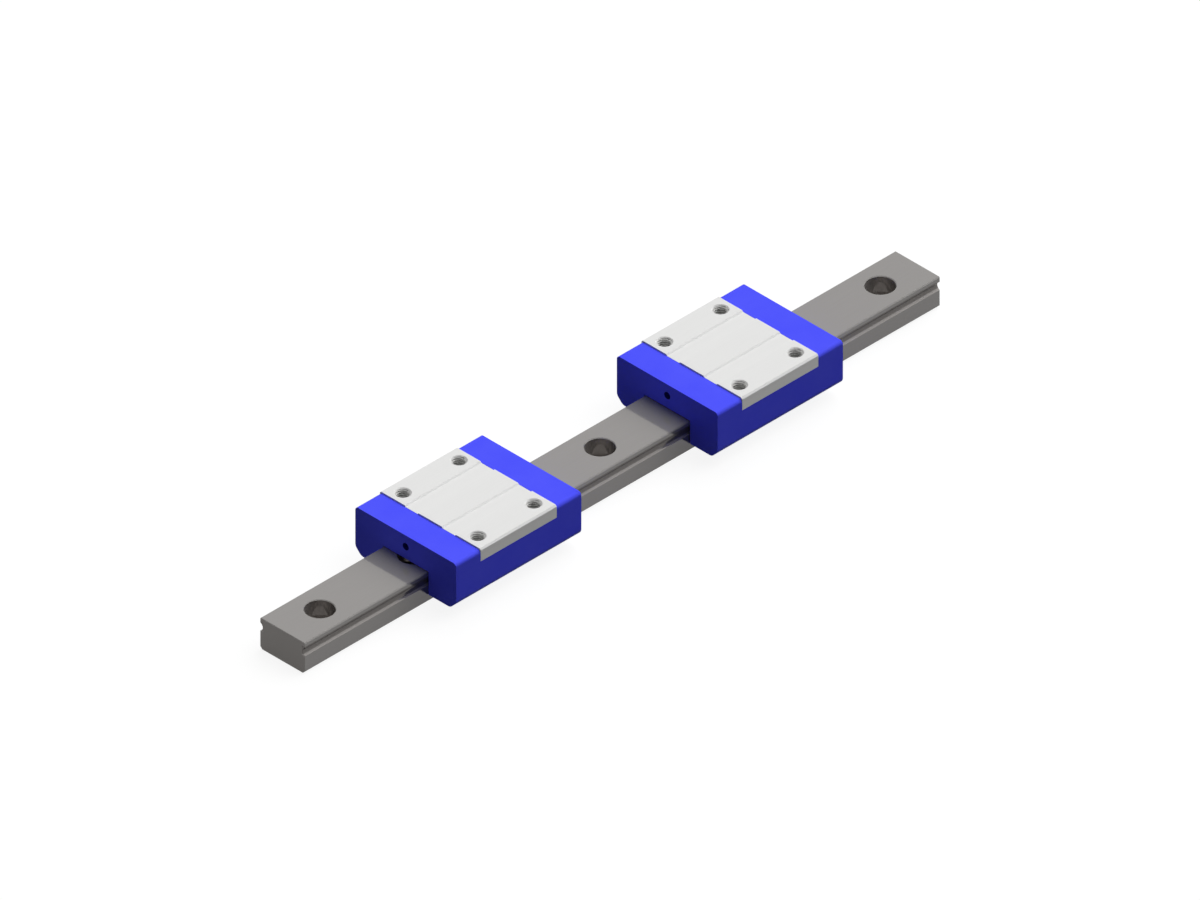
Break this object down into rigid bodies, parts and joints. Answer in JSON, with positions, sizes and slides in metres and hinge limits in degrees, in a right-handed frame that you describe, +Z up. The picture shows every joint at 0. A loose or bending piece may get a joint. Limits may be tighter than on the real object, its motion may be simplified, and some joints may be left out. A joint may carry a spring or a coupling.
{
  "type": "linear guide rail",
  "caption": "Slim ground-steel guide rail with ball grooves and counterbored screw holes, carrying recirculating-ball carriages with steel blocks and blue plastic end caps.",
  "frame": {"origin": "middle of the rail's underside: half-way along the rail, on its centre line, at the face that is screwed down", "axes": "+X along the rail from the near carriage to the far one, +Y across the rail, +Z up from the mounting face to the blocks' tops"},
  "size_m": [0.17, 0.027, 0.013],
  "materials": {
    "rail_steel": "ground",
    "block_steel": "ground",
    "frame_plastic": "moulded",
    "seal_rubber": "moulded",
    "inner_plastic": "moulded",
    "ball_steel": "polished"
  },
  "bodies": {
    "rail": {"rail": "rail_steel"},
    "near_carriage": {"near_block": "block_steel", "near_frame": "frame_plastic", "near_left_balls": "ball_steel", "near_right_balls": "ball_steel", "near_front_seal": "seal_rubber", "near_rear_seal": "seal_rubber", "near_ball_retainer": "inner_plastic", "near_front_turnaround": "inner_plastic", "near_rear_turnaround": "inner_plastic", "near_front_left_turn_guide": "inner_plastic", "near_front_right_turn_guide": "inner_plastic", "near_rear_left_turn_guide": "inner_plastic", "near_rear_right_turn_guide": "inner_plastic"},
    "far_carriage": {"far_block": "block_steel", "far_frame": "frame_plastic", "far_left_balls": "ball_steel", "far_right_balls": "ball_steel", "far_front_seal": "seal_rubber", "far_rear_seal": "seal_rubber", "far_ball_retainer": "inner_plastic", "far_front_turnaround": "inner_plastic", "far_rear_turnaround": "inner_plastic", "far_front_left_turn_guide": "inner_plastic", "far_front_right_turn_guide": "inner_plastic", "far_rear_left_turn_guide": "inner_plastic", "far_rear_right_turn_guide": "inner_plastic"}
  },
  "joints": [
    {"name": "near_slide", "type": "slide", "parent": "rail", "child": "near_carriage", "axis": [1, 0, 0], "range_m": [-0.033, 0.0182]},
    {"name": "far_slide", "type": "slide", "parent": "rail", "child": "far_carriage", "axis": [1, 0, 0], "range_m": [-0.0182, 0.0334]}
  ]
}
